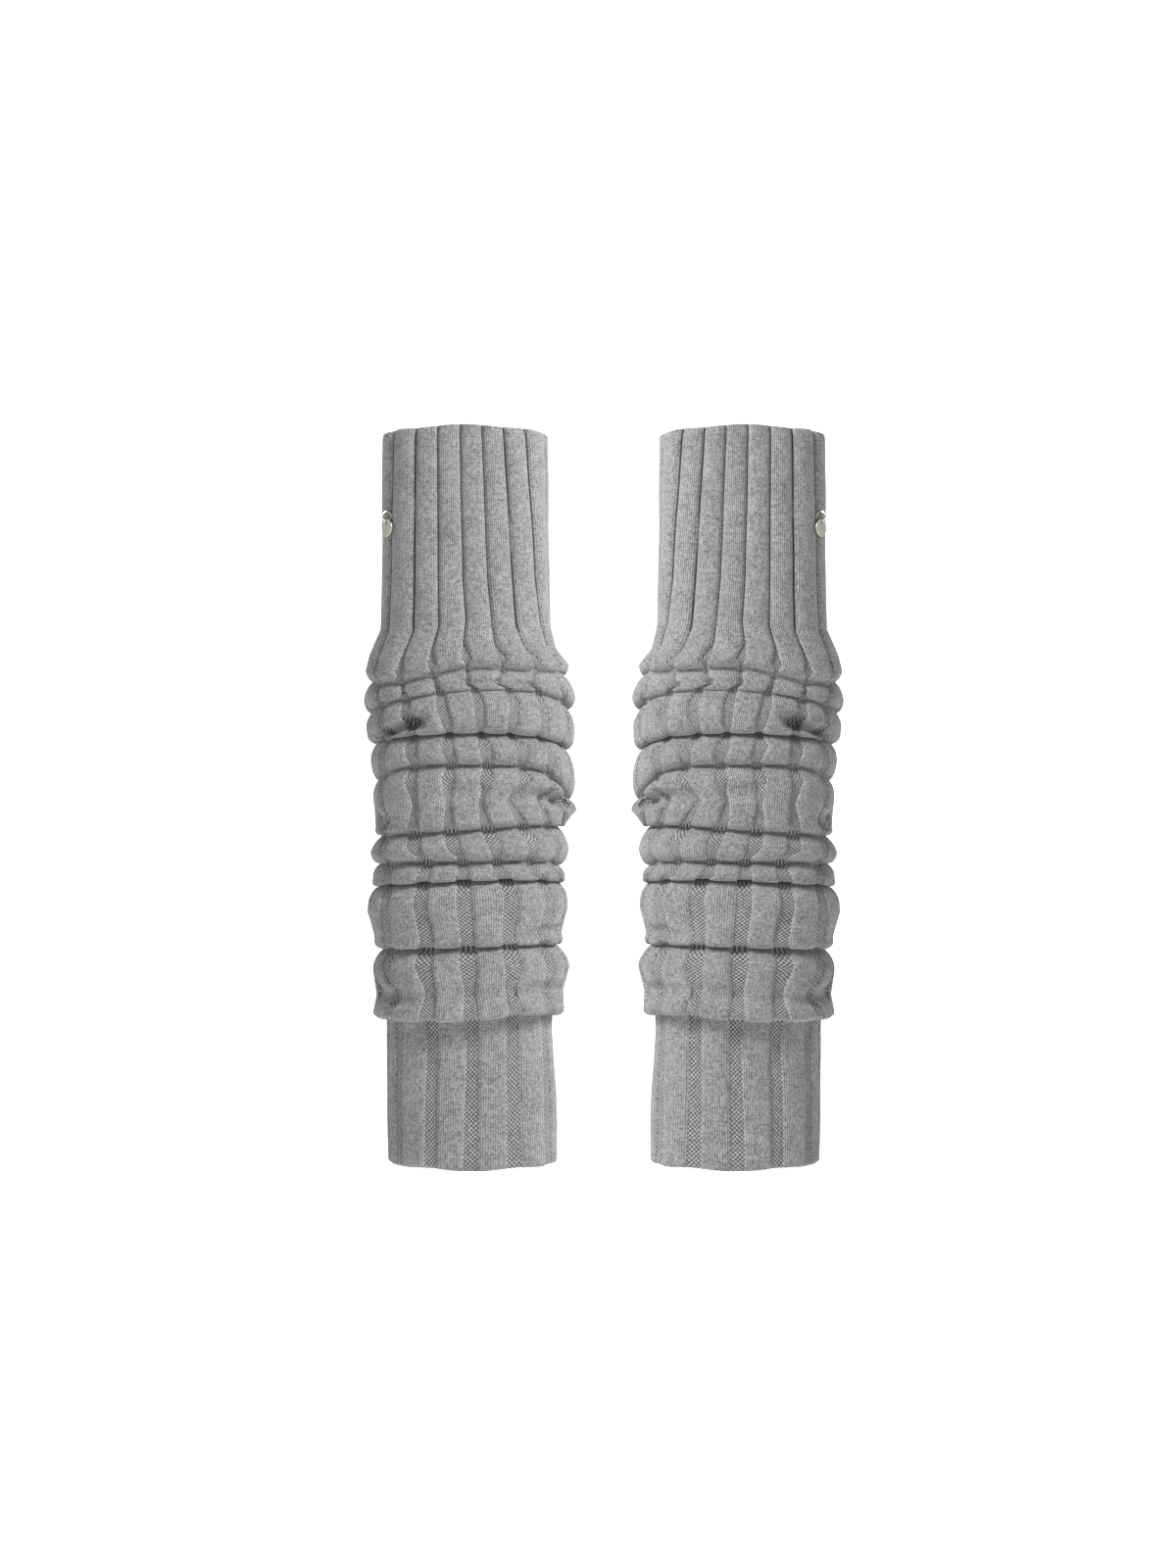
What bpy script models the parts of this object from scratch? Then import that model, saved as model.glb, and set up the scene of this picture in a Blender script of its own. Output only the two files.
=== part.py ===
"""Pair of wide-rib knitted leg warmers, scrunched, each with a coin charm on a jump ring.

Metres, +Z up, fronts facing -Y. The origin is midway between the two legs, level with
the middle of the close-fitting top bands, where the wearer's legs hold them up.
"""

import math

import bmesh
import bpy
import numpy as np

MM = 0.001

# Each leg warmer is worked out in millimetres about its own leg axis, then set beside its twin.
LEG_AXIS_X = 94.5          # from the middle of the pair to each leg's axis
TOP_Z = 75.0               # top edge, at the front
HEM_Z = -436.5             # bottom edge, at the front
WALL = 2.5                 # knit thickness
RIBS = 16                  # ribs round one tube
FLUTE = 1.3                # how far the purl line between two ribs sinks in the bands
ROUNDNESS = 2.4            # exponent of the flattened oval section
NOMINAL_HALF = (60.0, 40.0)  # half width and half depth that set the spacing round the girth
EDGE_DIP = (2.0, 2.0)      # the edges dip this much by mid-side, and again at the far sides
SLOPE_IN_CREASE = 0.35     # creases run inwards and up, so each roll hangs over the next

# Stations round the girth: front, then towards the other leg, the back, the outer side.
# A row is a crease right round: its height, and its depth, at those eight stations.
CREASES = (
    # name, heights: front, front-in, inner, back-in, back, back-out, outer, front-out; depths
    ("under_first_roll", (-94.5, -96.0, -97.0, -99.0, -103.0, -104.0, -101.5, -104.0),
     (7.0, 6.0, 3.5, 6.0, 7.0, 6.0, 4.0, 7.0)),
    ("under_second_roll", (-108.5, -110.0, -121.5, -124.0, -123.0, -126.0, -123.5, -115.0),
     (3.0, 4.0, 6.0, 7.0, 7.0, 6.0, 4.0, 6.0)),
    ("under_third_roll", (-140.0, -142.0, -149.0, -150.0, -147.0, -149.0, -145.0, -142.0),
     (7.5, 7.0, 5.0, 7.0, 8.0, 7.0, 5.0, 7.0)),
    ("under_fourth_roll", (-161.0, -164.0, -184.0, -178.0, -174.0, -172.0, -170.5, -162.0),
     (7.5, 7.0, 4.5, 7.0, 7.5, 7.0, 4.0, 7.0)),
    ("under_fifth_roll", (-205.7, -202.5, -202.5, -203.0, -205.0, -208.0, -209.0, -208.0),
     (7.5, 7.5, 5.0, 7.0, 8.0, 7.0, 4.5, 7.5)),
    ("under_sixth_roll", (-227.8, -227.5, -229.5, -232.0, -230.0, -229.0, -228.5, -228.0),
     (8.5, 8.0, 4.5, 7.0, 8.0, 7.5, 4.5, 8.5)),
    ("under_seventh_roll", (-240.5, -240.0, -241.5, -246.0, -248.0, -247.0, -244.5, -243.0),
     (7.0, 6.5, 4.0, 6.0, 7.0, 6.5, 4.5, 7.0)),
    ("under_eighth_roll", (-286.5, -285.0, -285.0, -283.0, -281.0, -284.0, -288.0, -288.0),
     (7.5, 7.0, 5.5, 7.0, 8.0, 7.0, 6.0, 8.0)),
    ("under_last_roll", (-337.0, -333.0, -334.5, -338.0, -339.0, -337.0, -336.0, -337.5),
     (7.5, 7.0, 5.0, 7.0, 7.5, 7.0, 6.0, 7.5)),
)

# Reach of the cloth from the leg axis before any crease is pressed in. The place counts
# stretches of cloth down from the top edge: 3.5 is halfway down the stretch below crease 3.
REACHES = (
    # place, outer, inner, front, back
    (0.00, 60.0, 56.0, 38.0, 38.0),
    (0.60, 60.5, 56.6, 38.0, 38.5),
    (0.78, 61.0, 58.0, 39.0, 40.0),
    (0.88, 68.5, 62.0, 43.0, 45.0),
    (0.95, 72.0, 71.0, 46.0, 48.0),
    (1.50, 73.0, 75.0, 42.5, 48.0),
    (2.50, 70.5, 74.0, 46.5, 49.0),
    (3.50, 68.0, 74.5, 46.0, 48.5),
    (4.30, 66.5, 75.0, 46.5, 48.0),
    (4.80, 65.0, 67.5, 46.0, 47.5),
    (5.50, 68.0, 70.5, 47.0, 48.5),
    (6.50, 66.0, 67.5, 46.0, 47.0),
    (7.35, 70.5, 69.5, 47.0, 48.5),
    (7.75, 65.5, 65.0, 46.5, 48.0),
    (8.25, 66.0, 70.5, 47.0, 49.0),
    (8.60, 63.5, 66.5, 46.5, 48.0),
    (8.90, 66.5, 67.5, 47.5, 49.0),
    (9.10, 66.0, 67.0, 46.0, 47.0),
    (9.50, 66.0, 69.5, 46.0, 47.0),
    (10.0, 65.5, 70.5, 45.5, 46.5),
)

# Each stretch of cloth between two creases: how much of it rounds over at its top and its
# bottom, and how far down it each ring of the wall lies.
STRETCHES = (
    # top share, bottom share, rings
    (0.00, 0.07, (0.0, 0.5, 0.78, 0.87, 0.96)),
    (0.45, 0.45, (0.0, 0.3, 0.72)),
    (0.45, 0.40, (0.0, 0.14, 0.5, 0.86)),
    (0.50, 0.50, (0.0, 0.25, 0.75)),
    (0.25, 0.20, (0.0, 0.1, 0.35, 0.65, 0.92)),
    (0.50, 0.50, (0.0, 0.25, 0.7)),
    (0.50, 0.50, (0.0, 0.25, 0.7)),
    (0.25, 0.20, (0.0, 0.1, 0.5, 0.92)),
    (0.25, 0.18, (0.0, 0.1, 0.36, 0.68, 0.93)),
    (0.00, 0.00, (0.0, 0.5, 1.0)),
)

# Short pinches and dents that fade out at both ends, placed by their share of the girth.
PINCHES = (
    # from share, from height, to share, to height, depth, half height
    (0.800, -139.0, 0.920, -127.0, 6.5, 7.0),
    (0.110, -178.5, 0.225, -184.5, 6.0, 7.0),
    (0.740, -193.5, 0.845, -196.0, 4.5, 9.0),
    (0.960, -176.0, 1.030, -177.0, 2.5, 10.0),
    (0.090, -276.0, 0.240, -270.5, 3.0, 6.0),
    (0.780, -314.5, 0.900, -319.0, 3.0, 9.0),
    (0.100, -312.5, 0.230, -314.5, 3.0, 9.0),
    (0.380, -190.0, 0.560, -186.0, 5.0, 9.0),
    (0.430, -262.0, 0.620, -268.0, 4.0, 9.0),
    (0.400, -310.0, 0.560, -316.0, 4.0, 9.0),
)

# Front spacing of the ribs: the third purl line's offset from the axis, and the rib pitch.
RIB_SPACING = (
    # place, third line, pitch
    (0.00, -19.8, 16.1),
    (0.60, -19.4, 17.3),
    (0.85, -19.8, 18.8),
    (0.95, -22.5, 23.0),
    (2.50, -13.7, 23.5),
    (3.50, -12.4, 26.3),
    (5.50, -8.4, 27.6),
    (6.50, -2.6, 27.0),
    (8.50, 0.5, 29.5),
    (9.20, 3.7, 27.4),
    (10.0, 3.7, 27.2),
)

# Charm: where it hangs, and its sizes
CHARM_HEIGHT = 13.4        # of the ring's centre, above the middle of the band
CHARM_RIB = 0.8            # on the outer rib, a fifth of the way back from the first purl line
RING_RADIUS = 3.6
RING_WIRE = 0.5
RING_CLEARANCE = 0.3
RING_REACH = 1.25          # how far the ring dips below the knit's face
COIN_RADIUS = 6.0
COIN_THICK = 1.2
COIN_HOLE_RADIUS = 1.15
COIN_HOLE_INSET = 2.1      # from the coin's edge to the hole's centre
COIN_BEVEL = 0.25


def section():
    """One lap of the oval, evenly spaced along its girth: share, x, y (front at -y)."""
    turn = np.linspace(0.0, 2.0 * math.pi, 2881)
    power = 2.0 / ROUNDNESS
    x = np.sign(np.sin(turn)) * np.abs(np.sin(turn)) ** power
    y = -np.sign(np.cos(turn)) * np.abs(np.cos(turn)) ** power
    steps = np.hypot(np.diff(x) * NOMINAL_HALF[0], np.diff(y) * NOMINAL_HALF[1])
    travelled = np.concatenate([[0.0], np.cumsum(steps)])
    return travelled / travelled[-1], x, y, travelled[-1]


LAP, LAP_X, LAP_Y, GIRTH = section()


def oval(share):
    share = share % 1.0
    return np.interp(share, LAP, LAP_X), np.interp(share, LAP, LAP_Y)


def around(stations, share):
    """A smooth periodic curve through evenly spaced stations round the girth."""
    values = np.asarray(stations)
    count = len(values)
    at = (share % 1.0) * count
    first = np.floor(at).astype(int) % count
    t = at - np.floor(at)
    a, b, c, d = (values[(first + k) % count] for k in (-1, 0, 1, 2))
    return b + 0.5 * t * (c - a + t * (2 * a - 5 * b + 4 * c - d + t * (3 * (b - c) + d - a)))


def down(table, place, column):
    places = [row[0] for row in table]
    values = [row[column] for row in table]
    return np.interp(place, places, values)


def edge_dip(share):
    across = np.abs(oval(share)[0])
    return EDGE_DIP[0] * smooth(across / 0.6) + EDGE_DIP[1] * smooth((across - 0.8) / 0.2)


def smooth(t):
    t = np.clip(t, 0.0, 1.0)
    return t * t * (3.0 - 2.0 * t)


def boundary_height(index, share):
    """Height of the top edge, of each crease, or of the hem, round the girth."""
    if index == 0:
        return TOP_Z - edge_dip(share)
    if index > len(CREASES):
        return HEM_Z + edge_dip(share)
    return around(CREASES[index - 1][1], share)


def crease_depth(index, share):
    if index == 0 or index > len(CREASES):
        return 0.0 * share
    return around(CREASES[index - 1][2], share)


def rounding(distance):
    """1 in the crease, falling like a quarter circle to 0 where the cloth is full."""
    u = np.clip(1.0 - np.abs(distance), 0.0, 1.0)
    return 1.0 - np.sqrt(1.0 - u * u)


def pinch_depth(share, height):
    total = 0.0 * share
    for start, z_start, end, z_end, depth, spread in PINCHES:
        along = ((share - start) % 1.0) / (end - start)
        inside = along < 1.0
        path = z_start + (z_end - z_start) * np.clip(along, 0.0, 1.0)
        fade = np.sin(math.pi * np.clip(along, 0.0, 1.0)) ** 0.7
        across = np.clip(np.abs(height - path) / spread, 0.0, 1.0)
        total = total + inside * depth * fade * (1.0 - smooth(across))
    return total


def rib_share(rib, place):
    """Where rib line `rib` (fractions lie on the rib) crosses this place, round the girth."""
    mean = GIRTH / RIBS
    wave = RIBS / (2.0 * math.pi)

    def lap(count, swing):
        turn = count / wave
        return count * mean + swing * (1.125 * math.sin(turn) - math.sin(3.0 * turn) / 24.0)

    third = down(RIB_SPACING, place, 1)
    swing = (down(RIB_SPACING, place, 2) - mean) * wave
    # the count, from the front middle, at which the third purl line falls
    low, high = -4.0, 4.0
    for _ in range(40):
        middle = 0.5 * (low + high)
        if lap(middle, swing) < third:
            low = middle
        else:
            high = middle
    return (lap(rib - 3.0 + low, swing) / GIRTH) % 1.0


def cloth_point(share, stretch, fraction, sink):
    """A point of the cloth's face, mm about the leg axis."""
    share = np.asarray(share)
    place = stretch + fraction
    upper = boundary_height(stretch, share)
    lower = boundary_height(stretch + 1, share)
    height = upper + (lower - upper) * fraction
    top_share, bottom_share, _ = STRETCHES[stretch]
    pressed = 0.0 * share
    if stretch == len(CREASES):
        pressed = pressed + crease_depth(stretch, share)
    elif top_share:
        pressed = pressed + crease_depth(stretch, share) * rounding(fraction / top_share)
    if bottom_share:
        pressed = pressed + (crease_depth(stretch + 1, share)
                             * rounding((1.0 - fraction) / bottom_share))
    inwards = pressed + pinch_depth(share, height) + sink
    lift = SLOPE_IN_CREASE * pressed
    if stretch == len(CREASES):
        lift = lift * (1.0 - fraction)
    outer, inner, front, back = (down(REACHES, place, column) for column in (1, 2, 3, 4))
    unit_x, unit_y = oval(share)
    half_x, half_y = 0.5 * (outer + inner), 0.5 * (front + back)
    x = 0.5 * (inner - outer) + half_x * unit_x
    y = 0.5 * (back - front) + half_y * unit_y
    normal = face_direction(share)
    return np.stack([x - inwards * normal[0], y - inwards * normal[1],
                     height + lift], axis=-1)


def face_direction(share):
    """Outward direction of the section at this share of the girth."""
    ahead, behind = oval(share + 0.004), oval(share - 0.004)
    along_x = (ahead[0] - behind[0]) * NOMINAL_HALF[0]
    along_y = (ahead[1] - behind[1]) * NOMINAL_HALF[1]
    length = np.hypot(along_x, along_y)
    return along_y / length, -along_x / length


def knit_material(name):
    return finish(name, (0.30, 0.30, 0.295, 1.0), 0.9, 0.0)


def finish(name, colour, roughness, metallic):
    material = bpy.data.materials.new(name)
    material.use_nodes = True
    shader = material.node_tree.nodes["Principled BSDF"]
    shader.inputs["Base Color"].default_value = colour
    shader.inputs["Roughness"].default_value = roughness
    shader.inputs["Metallic"].default_value = metallic
    return material


def add_object(name, mesh, collection, material):
    obj = bpy.data.objects.new(name, mesh)
    mesh.materials.append(material)
    collection.objects.link(obj)
    return obj


def leg_warmer(name, side, collection, material):
    """One knitted tube: rings of points from the top edge to the hem, given a wall."""
    columns = 2 * RIBS
    rings = []
    for stretch, (_, _, fractions) in enumerate(STRETCHES):
        banded = 1.0 if stretch in (0, len(STRETCHES) - 1) else 0.7
        for fraction in fractions:
            ring = []
            for column in range(columns):
                share = rib_share(0.5 * column, stretch + fraction)
                sink = banded * FLUTE if column % 2 == 0 else 0.0
                ring.append(cloth_point(share, stretch, fraction, sink))
            rings.append(ring)
    shell = bmesh.new()
    rows = [[shell.verts.new((side * (p[0] - LEG_AXIS_X) * MM, p[1] * MM, p[2] * MM))
             for p in ring] for ring in rings]
    for upper, lower in zip(rows, rows[1:]):
        for i in range(columns):
            j = (i + 1) % columns
            corners = (upper[i], lower[i], lower[j], upper[j])
            shell.faces.new(corners if side > 0 else corners[::-1])
    mesh = bpy.data.meshes.new(name)
    shell.to_mesh(mesh)
    shell.free()
    mesh.shade_smooth()
    obj = add_object(name, mesh, collection, material)
    wall = obj.modifiers.new("wall", "SOLIDIFY")
    wall.thickness = WALL * MM
    wall.offset = -1.0
    return obj


def charm_place(side):
    """Ring centre and the outward direction there, in metres, in the pair's frame."""
    fraction = (TOP_Z - CHARM_HEIGHT) / (TOP_Z - CREASES[0][1][6])
    share = np.array(rib_share(CHARM_RIB, fraction))
    face = cloth_point(share, 0, fraction, (2.0 * CHARM_RIB - 1.0) * FLUTE)
    out = face_direction(share)
    stand = RING_RADIUS - RING_REACH
    centre = (side * (face[0] + out[0] * stand - LEG_AXIS_X) * MM,
              (face[1] + out[1] * stand) * MM, CHARM_HEIGHT * MM)
    return centre, math.atan2(out[1], side * out[0])


def ring_mesh(name, wire_radius, segments):
    """A ring standing upright in its own XZ plane."""
    bpy.ops.mesh.primitive_torus_add(
        major_radius=RING_RADIUS * MM, minor_radius=wire_radius * MM,
        major_segments=segments, minor_segments=8, rotation=(math.pi / 2, 0.0, 0.0))
    obj = bpy.context.object
    obj.name = name
    bpy.ops.object.transform_apply(location=False, rotation=True, scale=False)
    return obj


def disc(name, radius, thickness, segments, offset_z):
    """A round plate facing its own X axis, its centre offset_z above the object's origin."""
    bpy.ops.mesh.primitive_cylinder_add(
        vertices=segments, radius=radius * MM, depth=thickness * MM,
        rotation=(0.0, math.pi / 2, 0.0))
    obj = bpy.context.object
    obj.name = name
    bpy.ops.object.transform_apply(location=False, rotation=True, scale=False)
    for vertex in obj.data.vertices:
        vertex.co.z += offset_z * MM
    return obj


def place(obj, position, angle, collection):
    for home in list(obj.users_collection):
        home.objects.unlink(obj)
    collection.objects.link(obj)
    obj.location = position
    obj.rotation_euler = (0.0, 0.0, angle)


def cut(obj, cutter):
    cutter.hide_render = True
    cutter.display_type = "WIRE"
    modifier = obj.modifiers.new("cut by " + cutter.name, "BOOLEAN")
    modifier.operation = "DIFFERENCE"
    modifier.object = cutter


def charm(side_name, side, warmer, collection, cutters, metal):
    """The jump ring through the knit, and the coin that swings on it."""
    centre, angle = charm_place(side)
    ring = ring_mesh(side_name + "_jump_ring", RING_WIRE, 28)
    place(ring, centre, angle, collection)
    ring.data.materials.append(metal)
    ring.data.shade_smooth()
    tunnel = ring_mesh(side_name + "_ring_tunnel", RING_WIRE + RING_CLEARANCE, 20)
    place(tunnel, centre, angle, cutters)
    cut(warmer, tunnel)

    pivot = (centre[0], centre[1], centre[2] - RING_RADIUS * MM)
    # the hole rests its upper edge on the wire, short of touching by the clearance
    hole_drop = COIN_HOLE_RADIUS - RING_WIRE - RING_CLEARANCE
    coin_drop = hole_drop + COIN_RADIUS - COIN_HOLE_INSET
    coin = disc(side_name + "_coin_charm", COIN_RADIUS, COIN_THICK, 40, -coin_drop)
    place(coin, pivot, angle, collection)
    coin.data.materials.append(metal)
    edge = coin.modifiers.new("worn edge", "BEVEL")
    edge.width = COIN_BEVEL * MM
    edge.segments = 2
    hole = disc(side_name + "_coin_hole", COIN_HOLE_RADIUS, 3.0 * COIN_THICK, 20, -hole_drop)
    place(hole, pivot, angle, cutters)
    cut(coin, hole)


def main():
    for obj in list(bpy.data.objects):
        bpy.data.objects.remove(obj)
    parts = bpy.data.collections.new("leg_warmers")
    cutters = bpy.data.collections.new("cutters")
    bpy.context.scene.collection.children.link(parts)
    bpy.context.scene.collection.children.link(cutters)
    knit = knit_material("heather_knit")
    metal = finish("pale_metal", (0.74, 0.72, 0.62, 1.0), 0.25, 1.0)
    for side_name, side in (("left", 1.0), ("right", -1.0)):
        warmer = leg_warmer(side_name + "_leg_warmer", side, parts, knit)
        charm(side_name, side, warmer, parts, cutters, metal)


main()
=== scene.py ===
import bpy
import math
import numpy as np
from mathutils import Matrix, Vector


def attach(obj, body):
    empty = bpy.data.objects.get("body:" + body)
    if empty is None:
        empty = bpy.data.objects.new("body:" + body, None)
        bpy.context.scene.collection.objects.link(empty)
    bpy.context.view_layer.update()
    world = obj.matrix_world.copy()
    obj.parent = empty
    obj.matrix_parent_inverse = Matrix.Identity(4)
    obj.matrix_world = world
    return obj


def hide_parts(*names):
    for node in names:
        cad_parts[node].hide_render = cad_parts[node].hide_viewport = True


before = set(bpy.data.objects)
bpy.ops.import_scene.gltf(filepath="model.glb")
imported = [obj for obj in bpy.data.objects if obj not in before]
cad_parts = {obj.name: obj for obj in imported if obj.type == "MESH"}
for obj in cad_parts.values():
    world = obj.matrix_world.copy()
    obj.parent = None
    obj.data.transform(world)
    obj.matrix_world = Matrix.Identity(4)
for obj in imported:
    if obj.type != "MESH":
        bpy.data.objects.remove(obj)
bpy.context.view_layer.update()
mm = 0.001

# Sizes of one leg warmer in millimetres about its own leg axis. The gains deepen the creases,
# pinches and purl gaps past the solid's. The last crease's depth runs on down the bottom band,
# so creaseGain also makes that band slimmer than its solid.
leg = {
    "axisX": 94.5, "topZ": 75.0, "hemZ": -436.5,
    "roundness": 2.4, "nominalHalf": (60.0, 40.0), "edgeDip": (2.0, 2.0),
    "slopeInCrease": 0.35, "creaseGain": 1.6, "pinchGain": 1.4, "rimRound": 1.3,
    "ribs": 16, "wall": 1.8, "gapGain": 1.15, "unevenness": 0.9,
    "columnsPerRib": 14, "rowStep": 1.35, "innerEvery": 3,
    "ribWales": 6.0, "purlWales": 3.0, "courseHeight": 2.35,
}

# name, heights at front, front-in, inner, back-in, back, back-out, outer, front-out, then depths
creases = (
    ("first", (-94.5, -96.0, -97.0, -99.0, -103.0, -104.0, -101.5, -104.0),
     (7.0, 6.0, 3.5, 6.0, 7.0, 6.0, 4.0, 7.0)),
    ("second", (-108.5, -110.0, -121.5, -124.0, -123.0, -126.0, -123.5, -115.0),
     (3.0, 4.0, 6.0, 7.0, 7.0, 6.0, 4.0, 6.0)),
    ("third", (-140.0, -142.0, -149.0, -150.0, -147.0, -149.0, -145.0, -142.0),
     (7.5, 7.0, 5.0, 7.0, 8.0, 7.0, 5.0, 7.0)),
    ("fourth", (-161.0, -164.0, -184.0, -178.0, -174.0, -172.0, -170.5, -162.0),
     (7.5, 7.0, 4.5, 7.0, 7.5, 7.0, 4.0, 7.0)),
    ("fifth", (-205.7, -202.5, -202.5, -203.0, -205.0, -208.0, -209.0, -208.0),
     (7.5, 7.5, 5.0, 7.0, 8.0, 7.0, 4.5, 7.5)),
    ("sixth", (-227.8, -227.5, -229.5, -232.0, -230.0, -229.0, -228.5, -228.0),
     (8.5, 8.0, 4.5, 7.0, 8.0, 7.5, 4.5, 8.5)),
    ("seventh", (-240.5, -240.0, -241.5, -246.0, -248.0, -247.0, -244.5, -243.0),
     (7.0, 6.5, 4.0, 6.0, 7.0, 6.5, 4.5, 7.0)),
    ("eighth", (-286.5, -285.0, -285.0, -283.0, -281.0, -284.0, -288.0, -288.0),
     (7.5, 7.0, 5.5, 7.0, 8.0, 7.0, 6.0, 8.0)),
    ("last", (-337.0, -333.0, -334.5, -338.0, -339.0, -337.0, -336.0, -337.5),
     (7.5, 7.0, 5.0, 7.0, 7.5, 7.0, 6.0, 7.5)),
)

# place down the cloth (3.5 is halfway between creases 3 and 4), then reach: outer, inner, front, back
reaches = (
    (0.00, 60.0, 56.0, 38.0, 38.0), (0.60, 60.5, 56.6, 38.0, 38.5), (0.78, 61.0, 58.0, 39.0, 40.0),
    (0.88, 68.5, 62.0, 43.0, 45.0), (0.95, 72.0, 71.0, 46.0, 48.0), (1.50, 73.0, 75.0, 42.5, 48.0),
    (2.50, 70.5, 74.0, 46.5, 49.0), (3.50, 68.0, 74.5, 46.0, 48.5), (4.30, 66.5, 75.0, 46.5, 48.0),
    (4.80, 65.0, 67.5, 46.0, 47.5), (5.50, 68.0, 70.5, 47.0, 48.5), (6.50, 66.0, 67.5, 46.0, 47.0),
    (7.35, 70.5, 69.5, 47.0, 48.5), (7.75, 65.5, 65.0, 46.5, 48.0), (8.25, 66.0, 70.5, 47.0, 49.0),
    (8.60, 63.5, 66.5, 46.5, 48.0), (8.90, 66.5, 67.5, 47.5, 49.0), (9.10, 66.0, 67.0, 46.0, 47.0),
    (9.50, 66.0, 69.5, 46.0, 47.0), (10.0, 65.5, 70.5, 45.5, 46.5),
)

# Stretches of cloth between creases: top share and bottom share that round over, rough cloth length
stretches = (
    (0.00, 0.07, 180.0), (0.45, 0.45, 30.0), (0.40, 0.36, 46.0), (0.50, 0.50, 38.0),
    (0.25, 0.20, 57.0), (0.50, 0.50, 37.0), (0.50, 0.50, 28.0), (0.22, 0.18, 58.0),
    (0.22, 0.16, 64.0), (0.00, 0.00, 106.0),
)

# Pinches that fade at both ends: from share, from height, to share, to height, depth, half height
pinches = (
    (0.800, -139.5, 0.925, -127.0, 8.5, 6.0), (0.878, -128.0, 0.925, -126.0, 5.0, 9.0),
    (0.110, -178.5, 0.225, -184.5, 7.0, 7.5), (0.165, -183.0, 0.235, -184.5, 4.0, 5.0),
    (0.740, -193.5, 0.845, -196.0, 4.5, 9.0), (0.950, -176.0, 1.020, -175.0, 3.0, 11.0),
    (0.060, -182.0, 0.120, -180.0, 3.0, 10.0), (0.090, -276.0, 0.240, -270.5, 3.0, 6.0),
    (0.780, -314.5, 0.900, -319.0, 3.6, 9.0), (0.100, -312.5, 0.230, -314.5, 3.6, 9.0),
    (0.900, -316.0, 1.120, -315.0, 1.4, 9.0), (0.380, -190.0, 0.560, -186.0, 5.0, 9.0),
    (0.430, -262.0, 0.620, -268.0, 4.0, 9.0), (0.400, -310.0, 0.560, -316.0, 4.0, 9.0),
    (0.820, -262.0, 0.960, -266.0, 1.2, 12.0), (0.000, -258.0, 0.140, -262.0, 1.2, 12.0),
)

# Purl lines between the ribs: place, then each line's offset across the front from the leg axis.
# Lines past the last one given are shared out round the back.
purlLines = (
    (0.00, -52.0, -35.8, -20.2, -4.4, 10.8, 25.9, 41.5),
    (0.30, -53.0, -36.1, -19.7, -3.4, 12.9, 29.3, 45.3),
    (0.62, -54.6, -36.5, -19.4, -2.0, 15.1, 32.8, 49.2),
    (0.80, -57.3, -38.5, -19.8, -0.3, 18.2, 35.4, 53.9),
    (0.93, -64.0, -46.6, -24.1, 0.3, 25.1, 48.2, 64.0), (1.50, -62.0, -43.5, -19.8, 0.7, 21.1, 44.5, 66.7),
    (2.20, -61.0, -43.3, -17.1, 9.0, 34.2, 54.6), (2.60, -60.0, -41.0, -12.6, 10.4, 32.8, 55.3),
    (2.95, -59.0, -38.3, -11.3, 10.4, 30.3, 52.6), (3.20, -60.0, -39.5, -13.3, 13.1, 39.9, 60.0),
    (3.85, -60.0, -35.8, -8.8, 16.2, 39.2, 58.2), (4.15, -60.0, -39.5, -12.6, 13.7, 42.5),
    (4.50, -59.4, -35.0, -12.0, 10.4, 31.0), (4.85, -60.0, -37.0, -11.3, 13.7, 38.7),
    (5.30, -60.0, -37.6, -8.8, 20.0, 47.6), (5.90, -58.0, -26.7, -2.3, 21.8, 45.7),
    (6.50, -56.2, -29.3, -2.3, 23.2, 51.5), (7.20, -57.4, -31.9, -1.4, 32.0, 59.0),
    (7.80, -56.6, -26.1, 1.5, 30.5, 54.6), (8.15, -58.0, -29.8, 1.5, 32.8, 59.4),
    (8.50, -50.0, -24.7, 2.9, 31.3, 59.0), (8.85, -57.3, -26.9, 3.7, 35.6, 59.5),
    (9.10, -49.4, -22.4, 4.4, 31.3, 56.7), (9.50, -50.8, -23.9, 3.7, 31.3, 58.2),
    (10.0, -50.0, -24.7, 2.2, 32.8, 59.4),
)

# place, share of the rib pitch that the purl gap takes, depth of the gap
purlGaps = (
    (0.00, 0.03, 3.2), (0.80, 0.03, 3.2), (0.88, 0.06, 3.0), (0.945, 0.30, 2.2), (0.985, 0.08, 2.4),
    (1.50, 0.14, 2.6), (1.95, 0.20, 2.2), (2.20, 0.30, 2.0), (2.70, 0.28, 2.0), (2.97, 0.16, 2.0),
    (3.20, 0.36, 1.8), (3.80, 0.30, 2.0), (4.00, 0.20, 2.0), (4.12, 0.33, 1.8), (4.50, 0.14, 2.4),
    (4.88, 0.33, 1.8), (5.30, 0.36, 1.8), (5.90, 0.22, 2.2), (6.50, 0.36, 1.7), (7.00, 0.30, 1.8),
    (7.30, 0.34, 1.9), (7.90, 0.34, 1.9), (8.20, 0.40, 1.8), (8.55, 0.26, 2.2), (8.90, 0.36, 1.8),
    (9.10, 0.28, 2.3), (10.0, 0.32, 2.3),
)


def makeSection():
    turn = np.linspace(-math.pi, math.pi, 2881)
    power = 2.0 / leg["roundness"]
    x = np.sign(np.sin(turn)) * np.abs(np.sin(turn)) ** power
    y = -np.sign(np.cos(turn)) * np.abs(np.cos(turn)) ** power
    halfX, halfY = leg["nominalHalf"]
    travelled = np.concatenate([[0.0], np.cumsum(np.hypot(np.diff(x) * halfX, np.diff(y) * halfY))])
    return travelled / travelled[-1] - 0.5, x, y


lapShare, lapX, lapY = makeSection()  # share 0 is the front middle, 0.25 the inner side


def wrapped(share):
    return (share + 0.5) % 1.0 - 0.5


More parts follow.
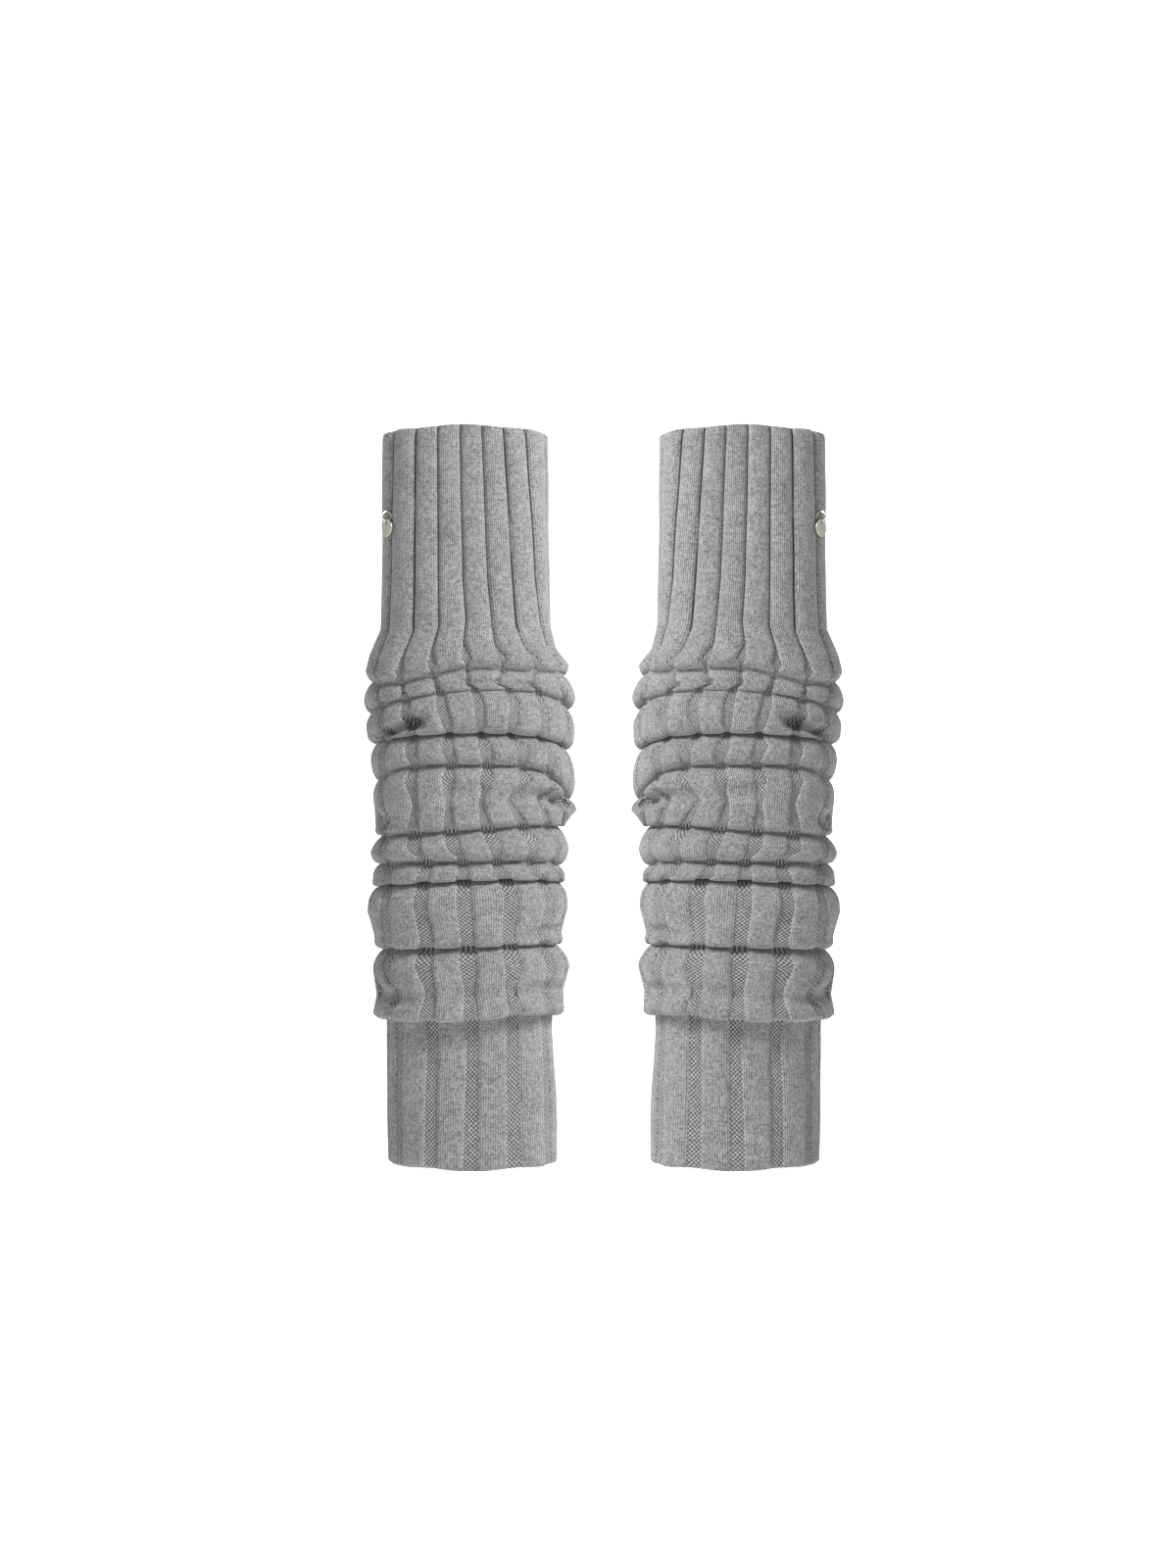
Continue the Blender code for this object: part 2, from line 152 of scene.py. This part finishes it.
def oval(share):
    share = wrapped(share)
    return np.interp(share, lapShare, lapX), np.interp(share, lapShare, lapY)


def smooth(t):
    t = np.clip(t, 0.0, 1.0)
    return t * t * (3.0 - 2.0 * t)


def around(stations, share):
    values = np.asarray(stations)
    at = (share % 1.0) * len(values)
    first = np.floor(at).astype(int) % len(values)
    t = at - np.floor(at)
    a, b, c, d = (values[(first + k) % len(values)] for k in (-1, 0, 1, 2))
    return b + 0.5 * t * (c - a + t * (2 * a - 5 * b + 4 * c - d + t * (3 * (b - c) + d - a)))


def column(table, place, index):
    return np.interp(place, [row[0] for row in table], [row[index] for row in table])


def boundaryHeight(index, share):
    across = np.abs(oval(share)[0])
    dip = leg["edgeDip"][0] * smooth(across / 0.6) + leg["edgeDip"][1] * smooth((across - 0.8) / 0.2)
    if index == 0:
        return leg["topZ"] - dip
    if index > len(creases):
        return leg["hemZ"] + dip
    return around(creases[index - 1][1], share)


def rounding(distance):
    u = np.clip(1.0 - np.abs(distance), 0.0, 1.0)
    return 1.0 - np.sqrt(1.0 - u * u)


# gentle unevenness from a few seeded waves
def softWave(share, height, seed, size):
    draw = np.random.default_rng(seed)
    total = 0.0 * share
    for _ in range(7):
        turns, tilt, shift = draw.integers(1, 7), draw.uniform(0.01, 0.06), draw.uniform(0, 6.28)
        total = total + np.sin(2 * math.pi * turns * share + tilt * height * 2.0 + shift)
    return size * total / 7.0


# the cloth's face without its ribs: three arrays, mm about the leg axis
def baseCloth(place, share):
    stretch = np.clip(np.floor(place), 0, len(stretches) - 1).astype(int)
    fraction = place - stretch
    edges = [boundaryHeight(i, share) for i in range(len(stretches) + 1)]
    depths = [0.0 * share] + [around(row[2], share) for row in creases] + [0.0 * share]
    upper, lower = np.choose(stretch, edges[:-1]), np.choose(stretch, edges[1:])
    height = upper + (lower - upper) * fraction
    topShare = np.array([row[0] for row in stretches])[stretch]
    bottomShare = np.array([row[1] for row in stretches])[stretch]
    last = stretch == len(stretches) - 1
    fromTop = np.where(topShare > 0, rounding(fraction / np.maximum(topShare, 1e-6)), 0.0)
    fromTop = np.where(last, 1.0, fromTop)
    fromBottom = np.where(bottomShare > 0, rounding((1 - fraction) / np.maximum(bottomShare, 1e-6)), 0.0)
    pressed = np.choose(stretch, depths[:-1]) * fromTop + np.choose(stretch, depths[1:]) * fromBottom
    pressed = pressed * leg["creaseGain"]
    wave = softWave(share, height, 11, leg["unevenness"])
    inwards = pressed + leg["pinchGain"] * pinchDepth(share, height) + wave
    lift = leg["slopeInCrease"] * pressed * np.where(last, 1.0 - fraction, 1.0)
    outer, inner, front, back = (column(reaches, place, k) for k in (1, 2, 3, 4))
    unitX, unitY = oval(share)
    ahead, behind = oval(share + 0.004), oval(share - 0.004)
    alongX = (ahead[0] - behind[0]) * leg["nominalHalf"][0]
    alongY = (ahead[1] - behind[1]) * leg["nominalHalf"][1]
    length = np.hypot(alongX, alongY)
    x = 0.5 * (inner - outer) + 0.5 * (outer + inner) * unitX - inwards * alongY / length
    y = 0.5 * (back - front) + 0.5 * (front + back) * unitY + inwards * alongX / length
    return np.stack([x, y, height + lift], axis=-1), np.clip(pressed / 6.0, 0, 1)


def pinchDepth(share, height):
    total = 0.0 * share
    for start, startZ, end, endZ, depth, spread in pinches:
        along = ((share - start) % 1.0) / (end - start)
        inside = np.clip(along, 0.0, 1.0)
        path = startZ + (endZ - startZ) * inside
        across = np.clip(np.abs(height - path) / spread, 0.0, 1.0)
        total = total + (along < 1.0) * depth * np.sin(math.pi * inside) ** 0.5 * (1 - smooth(across))
    return total


# each table row's sixteen purl lines as shares of the girth, always rising
def purlShares():
    rows = []
    for row in purlLines:
        outer, inner = column(reaches, row[0], 1), column(reaches, row[0], 2)
        pressed = 7.0 if row[0] > 9.0 else 0.0
        given = []
        for offset in row[1:]:
            unit = (offset - 0.5 * (inner - outer)) / (0.5 * (outer + inner) - pressed)
            middle = (lapShare > -0.25) & (lapShare < 0.25)
            given.append(np.interp(np.clip(unit, -0.985, 0.985), lapX[middle], lapShare[middle]))
        rest = leg["ribs"] - len(given)
        step = (given[0] + 1.0 - given[-1]) / (rest + 1)
        given += [given[-1] + step * (k + 1) for k in range(rest)]
        rows.append(given + [given[0] + 1.0])
    return np.array(rows)


purlTable = purlShares()


# the purl lines on both sides of every rib, as shares of the girth
def ribSides(places):
    levels = [row[0] for row in purlLines]
    lines = np.stack([np.interp(places, levels, purlTable[:, k]) for k in range(leg["ribs"] + 1)], 1)
    return lines[:, :-1], lines[:, 1:]


print("tables ready")


# where the columns of one rib fall, as shares of its pitch: close together at the purl gap
def columnParts(gap):
    edge = gap / 2
    steps = (0.0, 0.5, 0.9, 1.0)
    side = [edge * s for s in steps]
    bulge = [edge + (0.5 - edge) * s for s in (0.10, 0.28, 0.60)]
    half = side + bulge
    return half + [0.5] + [1.0 - s for s in reversed(half[1:])]


# rows of the cloth from top to hem, closer together in the creases
def legRows():
    places = []
    for index in range(len(stretches)):
        count = max(8, int(stretches[index][2] / leg["rowStep"]))
        t = np.linspace(0.0, 1.0, count + 1)[:-1]
        tight = t - 0.11 * np.sin(4 * math.pi * t) / 2 if index not in (0, 9) else t
        if index == 0:
            tight = t + 0.04 * np.sin(math.pi * t)
        places += list(index + np.clip(tight, 0, 0.9999))
    return np.array(places + [len(stretches) - 1e-9])


# outer face, inner face and knit coordinates on a grid of rows and columns
def knitSurface(places):
    perRib = leg["columnsPerRib"]
    total = leg["ribs"] * perRib
    gapShare = column(purlGaps, places, 1)
    gapDepth = column(purlGaps, places, 2)
    parts = np.array([columnParts(g) for g in gapShare])  # rows by columns of one rib
    low, high = ribSides(places)
    share = (low[:, :, None] + (high - low)[:, :, None] * parts[:, None, :]).reshape(len(places), total)
    part = np.repeat(parts[:, None, :], leg["ribs"], axis=1).reshape(len(places), total)
    placeGrid = np.repeat(places[:, None], total, axis=1)
    base, creased = baseCloth(placeGrid, share)
    along = np.gradient(base, axis=0)
    padded = np.concatenate([base[:, -1:], base, base[:, :1]], axis=1)
    across = (padded[:, 2:] - padded[:, :-2]) * 0.5
    normal = np.cross(along, across)
    normal /= np.maximum(np.linalg.norm(normal, axis=-1, keepdims=True), 1e-9)
    nearest = np.minimum(part, 1.0 - part)
    gap = gapShare[:, None] * 0.5
    fromCentre = np.clip((0.5 - nearest) / (0.5 - gap), 0.0, 1.0)
    squareness = 2.4 + 5.0 * gapShare[:, None]
    crown = 1.0 - (1.0 - fromCentre ** squareness) ** (1 / squareness)
    relief = -leg["gapGain"] * gapDepth[:, None] * np.where(nearest <= gap, 1.0, crown)
    relief = relief * (1.0 - 0.35 * creased)
    fromRim = np.minimum((leg["topZ"] - base[..., 2]) - 3.0, base[..., 2] - leg["hemZ"] - 2.0)
    relief = relief - leg["rimRound"] * rounding(np.clip(fromRim / 3.5, 0.0, 1.0))
    outerFace = base + normal * relief[:, :, None]
    innerFace = base + normal * (0.8 * relief - leg["wall"])[:, :, None]
    ribWales, purlWales = leg["ribWales"], leg["purlWales"]
    inGap = nearest / np.maximum(gap, 1e-6) * purlWales / 2
    inRib = purlWales / 2 + (nearest - gap) / (0.5 - gap) * ribWales / 2
    fromLine = np.where(nearest <= gap, inGap, inRib)
    wales = ribWales + purlWales
    knitU = np.where(part <= 0.5, fromLine, wales - fromLine)
    knitU = knitU + np.repeat(np.arange(leg["ribs"]), perRib)[None, :] * wales
    lengths = [row[2] for row in stretches]
    starts = np.concatenate([[0.0], np.cumsum(lengths)])
    knitV = np.interp(places, np.arange(len(starts)), starts) / leg["courseHeight"]
    return outerFace, innerFace, knitU, knitV


wholeRows = legRows()
wholeLeg = knitSurface(wholeRows)


# one closed length of the knitted tube, from one crease to another
def makeTube(name, side, first, last, material):
    begin = np.searchsorted(wholeRows, first)
    end = min(np.searchsorted(wholeRows, last), len(wholeRows) - 1)
    outerFace, innerFace, knitU, knitV = (grid[begin:end + 1] for grid in wholeLeg)
    rows, columns = knitU.shape
    innerRows = np.unique(np.append(np.arange(0, rows, leg["innerEvery"]), rows - 1))
    innerFace = innerFace[innerRows]
    rounded = []  # two extra rows at each end round the wall's edge
    for row in (0, -1):
        middle = 0.5 * (outerFace[row] + innerFace[row])
        push = (outerFace[row] - outerFace[1 if row == 0 else -2])
        push = push / np.maximum(np.linalg.norm(push, axis=-1, keepdims=True), 1e-9)
        isEdge = (first == 0 and row == 0) or (last == len(stretches) and row == -1)
        rounded.append(middle + push * (0.9 if isEdge else 0.0))
    blocks = [outerFace.reshape(-1, 3), innerFace.reshape(-1, 3), rounded[0], rounded[1]]
    points = np.concatenate(blocks)
    points = points - np.array([leg["axisX"], 0.0, 0.0])
    points = points * np.array([side, 1.0, 1.0]) * mm
    o = np.arange(rows * columns).reshape(rows, columns)
    i = rows * columns + np.arange(len(innerRows) * columns).reshape(len(innerRows), columns)
    top = rows * columns + len(innerRows) * columns + np.arange(columns)
    bottom = top + columns

    def band(a, b):
        return np.stack([a, b, np.roll(b, -1), np.roll(a, -1)], axis=-1).reshape(-1, 4)

    wholeTurn = (leg["ribWales"] + leg["purlWales"]) * leg["ribs"]
    uTop = np.concatenate([knitU, knitU[:, :1] + wholeTurn], axis=1)
    faces, us, vs = [], [], []

    def addBand(a, b, ua, ub, va, vb):
        faces.append(band(a, b))
        us.append(np.stack([ua[:-1], ub[:-1], ub[1:], ua[1:]], axis=-1).reshape(-1, 4))
        vs.append(np.tile(np.array([va, vb, vb, va]), (columns, 1)))

    for r in range(rows - 1):
        addBand(o[r], o[r + 1], uTop[r], uTop[r + 1], knitV[r], knitV[r + 1])
    for k in range(len(innerRows) - 1):
        r, s = innerRows[k], innerRows[k + 1]
        addBand(i[k + 1], i[k], uTop[s], uTop[r], knitV[s], knitV[r])
    addBand(top, o[0], uTop[0], uTop[0], knitV[0] - 1.0, knitV[0])
    addBand(i[0], top, uTop[0], uTop[0], knitV[0] - 2.0, knitV[0] - 1.0)
    addBand(o[-1], bottom, uTop[-1], uTop[-1], knitV[-1], knitV[-1] + 1.0)
    addBand(bottom, i[-1], uTop[-1], uTop[-1], knitV[-1] + 1.0, knitV[-1] + 2.0)
    faces, us, vs = np.concatenate(faces), np.concatenate(us), np.concatenate(vs)
    if side < 0:
        faces, us, vs = faces[:, ::-1], us[:, ::-1], vs[:, ::-1]
    mesh = bpy.data.meshes.new(name)
    mesh.vertices.add(len(points))
    mesh.vertices.foreach_set("co", points.astype(np.float32).ravel())
    mesh.loops.add(len(faces) * 4)
    mesh.loops.foreach_set("vertex_index", faces.astype(np.int32).ravel())
    mesh.polygons.add(len(faces))
    mesh.polygons.foreach_set("loop_start", np.arange(0, len(faces) * 4, 4, dtype=np.int32))
    mesh.update(calc_edges=True)
    knit = mesh.uv_layers.new(name="knitGrid")
    knit.data.foreach_set("uv", np.stack([us, vs], -1).astype(np.float32).ravel())
    mesh.shade_smooth()
    mesh.materials.append(material)
    obj = bpy.data.objects.new(name, mesh)
    bpy.context.scene.collection.objects.link(obj)
    return obj


# a shader socket that sums and scales like a number
class Wire:
    def __init__(self, tree, socket):
        self.tree = tree
        self.socket = socket

    def node(self, kind, values=(), out=0, **settings):
        made = self.tree.nodes.new(kind)
        for key, value in settings.items():
            setattr(made, key, value)
        named = values if isinstance(values, dict) else dict(enumerate(values))
        for index, value in named.items():
            if isinstance(value, Wire):
                self.tree.links.new(value.socket, made.inputs[index])
            else:
                made.inputs[index].default_value = value
        return Wire(self.tree, made.outputs[out])

    def maths(self, operation, *values):
        return self.node("ShaderNodeMath", values, operation=operation)

    def __add__(self, other):
        return self.maths("ADD", self, other)

    def __radd__(self, other):
        return self.maths("ADD", other, self)

    def __sub__(self, other):
        return self.maths("SUBTRACT", self, other)

    def __rsub__(self, other):
        return self.maths("SUBTRACT", other, self)

    def __mul__(self, other):
        return self.maths("MULTIPLY", self, other)

    def __rmul__(self, other):
        return self.maths("MULTIPLY", other, self)

    def __pow__(self, other):
        return self.maths("POWER", self, other)

    def __mod__(self, other):
        return self.maths("FLOORED_MODULO", self, other)

    def __abs__(self):
        return self.maths("ABSOLUTE", self)


# light and dark ends of the knit colour; the dark end also carries the painted shade in stitch recesses
# and purl holes
knitLook = {
    "light": (0.40, 0.40, 0.397, 1.0), "dark": (0.075, 0.075, 0.074, 1.0),
    "roughness": 0.93, "stitchHeight": 0.9, "hairHeight": 0.35, "sheen": 0.35,
}


def makeKnit():
    material = bpy.data.materials.new("heatherKnit")
    material.use_nodes = True
    tree = material.node_tree
    tree.nodes.clear()
    start = Wire(tree, None)
    grid = start.node("ShaderNodeUVMap", uv_map="knitGrid")
    u = start.node("ShaderNodeSeparateXYZ", [grid], 0)
    v = Wire(tree, u.socket.node.outputs[1])
    place = start.node("ShaderNodeTexCoord", out=3)
    wander = start.node("ShaderNodeTexNoise", {"Vector": place, "Scale": 420.0, "Detail": 2.0}) - 0.5
    u, v = u + wander * 0.35, v + wander * 0.35
    wales = leg["ribWales"] + leg["purlWales"]
    inRepeat = u % wales
    fromLine = inRepeat.maths("MINIMUM", inRepeat, wales - inRepeat)
    purl = 1.0 - start.node("ShaderNodeMapRange", [fromLine, 1.3, 1.7, 0.0, 1.0],
                            interpolation_type="SMOOTHSTEP")
    # knit side: two slanting legs to each stitch
    across = abs((u - 0.5) % 1.0 - 0.5) * 2.0
    slant = (v + across * 0.75) % 1.0
    strand = slant.maths("SINE", slant * math.pi) ** 0.6
    legRound = across.maths("SINE", across * math.pi) ** 0.45
    knitHeight = strand * 0.55 + legRound * 0.45
    knitHeight = knitHeight * legRound
    # purl side: staggered bumps with holes between; the holes get painted shade in the colour below
    bumpV = v * (1.5 * math.pi)
    bumps = u.maths("COSINE", u * (2 * math.pi)) * v.maths("COSINE", bumpV)
    purlHeight = bumps * 0.5 + 0.5
    height = knitHeight * (1.0 - purl) + purlHeight * purl
    hair, cloud, fleck = (
        start.node("ShaderNodeTexNoise",
                   {"Vector": place, "Scale": scale, "Detail": detail, "Roughness": rough})
        for scale, detail, rough in ((1100.0, 3.0, 0.65), (95.0, 3.0, 0.6), (520.0, 4.0, 0.75)))
    # knit colour: random melange flecks and cloud, plus painted shade that lightens the raised knit legs
    # and darkens the recesses between them
    toneAndShade = 0.5 + (fleck - 0.5) * 2.5 + (cloud - 0.5) * 0.55 + (knitHeight - 0.55) * 0.6 * (1.0 - purl)
    # painted shade: the holes between purl bumps darker, and the purl gaps darker overall than the ribs
    toneAndShade = toneAndShade + ((purlHeight - 0.57) * 2.6) * purl
    toneAndShade = toneAndShade.node("ShaderNodeClamp", [toneAndShade, 0.0, 1.0])
    colour = start.node("ShaderNodeMix", {0: toneAndShade, 6: knitLook["dark"], 7: knitLook["light"]},
                        out=2, data_type="RGBA")
    allHeight = height * knitLook["stitchHeight"] + hair * knitLook["hairHeight"]
    bump = start.node("ShaderNodeBump", {"Strength": 0.85, "Distance": 0.0007, "Height": allHeight})
    shader = tree.nodes.new("ShaderNodeBsdfPrincipled")
    shader.inputs["Roughness"].default_value = knitLook["roughness"]
    shader.inputs["Specular IOR Level"].default_value = 0.15
    shader.inputs["Sheen Weight"].default_value = knitLook["sheen"]
    shader.inputs["Sheen Roughness"].default_value = 0.6
    tree.links.new(colour.socket, shader.inputs["Base Color"])
    tree.links.new(bump.socket, shader.inputs["Normal"])
    out = tree.nodes.new("ShaderNodeOutputMaterial")
    tree.links.new(shader.outputs[0], out.inputs[0])
    return material


metalLook = {"worn": (0.80, 0.78, 0.66, 1), "plain": (0.70, 0.68, 0.58, 1)}


def makeMetal():
    material = bpy.data.materials.new("paleMetal")
    material.use_nodes = True
    tree = material.node_tree
    shader = tree.nodes["Principled BSDF"]
    start = Wire(tree, None)
    place = start.node("ShaderNodeTexCoord", out=3)
    wear = start.node("ShaderNodeTexNoise", {"Vector": place, "Scale": 900.0, "Detail": 3.0})
    rough = 0.2 + wear * 0.22
    tint = start.node("ShaderNodeMix", {0: wear, 6: metalLook["worn"], 7: metalLook["plain"]},
                      out=2, data_type="RGBA")
    bump = start.node("ShaderNodeBump", {"Strength": 0.15, "Distance": 0.0001, "Height": wear})
    shader.inputs["Metallic"].default_value = 1.0
    tree.links.new(rough.socket, shader.inputs["Roughness"])
    tree.links.new(tint.socket, shader.inputs["Base Color"])
    tree.links.new(bump.socket, shader.inputs["Normal"])
    return material


# Each tube is made in three lengths that meet deep in a crease: name, first and last crease, flat
# cut in metres. The cuts are worked out from these folds, not taken from a real garment.
tubeLengths = (
    ("upper", 0, 3, (0.33, 0.255)),
    ("middle", 3, 7, (0.36, 0.16)),
    ("lower", 7, 10, (0.36, 0.228)),
)

knit = makeKnit()
legPieces = {"left": [], "right": []}
for sideName, side in (("left", 1.0), ("right", -1.0)):
    for lengthName, first, last, flat in tubeLengths:
        tube = makeTube(sideName + "_knit_" + lengthName, side, first, last, knit)
        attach(tube, "pair")
        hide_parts(sideName + "_leg_warmer")
        legPieces[sideName].append(tube)
        print("made", tube.name, len(tube.data.polygons) * 2, "triangles")

metal = makeMetal()
for sideName in ("left", "right"):
    for nodeName in (sideName + "_jump_ring", sideName + "_coin_charm"):
        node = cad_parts[nodeName]
        for spot in node.material_slots:
            spot.material = metal
        legPieces[sideName].append(node)
print("charms finished")

studio = {
    "floorZ": -0.53, "floorShade": 0.8, "floorGlow": 0.95, "cameraDistance": 2.3,
    "viewCentre": (-0.011, 0.0, -0.171), "viewHeight": 1.072, "frontPlane": 0.042,
    "keyPower": 52.0, "keySize": 0.7, "keyPlace": (1.15, -1.05, 1.15), "fill": 0.34,
}


# a pale floor that curves up into the backdrop
def makeStage():
    radius, back, front, halfWidth = 0.8, 2.6, -3.5, 4.5
    profile = [(front, 0.0), (back - radius, 0.0)]
    profile += [(back - radius + radius * math.sin(a), radius - radius * math.cos(a))
                for a in np.linspace(0.1, math.pi / 2, 12)]
    profile += [(back, 4.0)]
    verts = [(x, y, studio["floorZ"] + z) for y, z in profile for x in (-halfWidth, halfWidth)]
    faces = [(2 * k, 2 * k + 1, 2 * k + 3, 2 * k + 2) for k in range(len(profile) - 1)]
    mesh = bpy.data.meshes.new("floor")
    mesh.from_pydata(verts, [], faces)
    mesh.shade_smooth()
    material = bpy.data.materials.new("paleFloor")
    material.use_nodes = True
    shader = material.node_tree.nodes["Principled BSDF"]
    shade = studio["floorShade"]
    shader.inputs["Base Color"].default_value = (shade, shade, shade, 1)
    shader.inputs["Roughness"].default_value = 1.0
    shader.inputs["Specular IOR Level"].default_value = 0.0
    shader.inputs["Emission Color"].default_value = (1, 1, 1, 1)
    shader.inputs["Emission Strength"].default_value = studio["floorGlow"]
    mesh.materials.append(material)
    obj = bpy.data.objects.new("floor", mesh)
    bpy.context.scene.collection.objects.link(obj)


# a large soft light from the middle of the pair, for one leg warmer
def addSideLight(name, side, pieces):
    light = bpy.data.lights.new(name, "AREA")
    light.shape = "SQUARE"
    light.size = studio["keySize"]
    light.energy = studio["keyPower"]
    obj = bpy.data.objects.new(name, light)
    x, y, z = studio["keyPlace"]
    obj.location = (side * x, y, z)
    target = np.array([-side * 0.09, 0.0, -0.18])
    aim = Vector(target) - obj.location
    obj.rotation_mode = "QUATERNION"
    obj.rotation_quaternion = aim.to_track_quat("-Z", "Y")
    bpy.context.scene.collection.objects.link(obj)
    lit = bpy.data.collections.new(name + "Lit")
    for piece in pieces:
        lit.objects.link(piece)
    obj.light_linking.receiver_collection = lit
    obj.light_linking.blocker_collection = lit


makeStage()
addSideLight("leftKey", 1.0, legPieces["left"])
addSideLight("rightKey", -1.0, legPieces["right"])

world = bpy.data.worlds.new("softRoom")
world.use_nodes = True
world.node_tree.nodes["Background"].inputs[0].default_value = (1, 1, 1, 1)
world.node_tree.nodes["Background"].inputs[1].default_value = studio["fill"]
bpy.context.scene.world = world
bpy.context.scene.view_settings.view_transform = "Standard"

cameraData = bpy.data.cameras.new("camera")
cameraData.sensor_fit = "AUTO"
cameraData.sensor_width = 36.0
cameraData.lens = 36.0 * (studio["cameraDistance"] - studio["frontPlane"]) / studio["viewHeight"]
cameraObj = bpy.data.objects.new("camera", cameraData)
cx, cy, cz = studio["viewCentre"]
cameraObj.location = (cx, cy - studio["cameraDistance"], cz)
cameraObj.rotation_euler = (math.pi / 2, 0.0, 0.0)
bpy.context.scene.collection.objects.link(cameraObj)
bpy.context.scene.camera = cameraObj
print("stage, lights and camera ready")
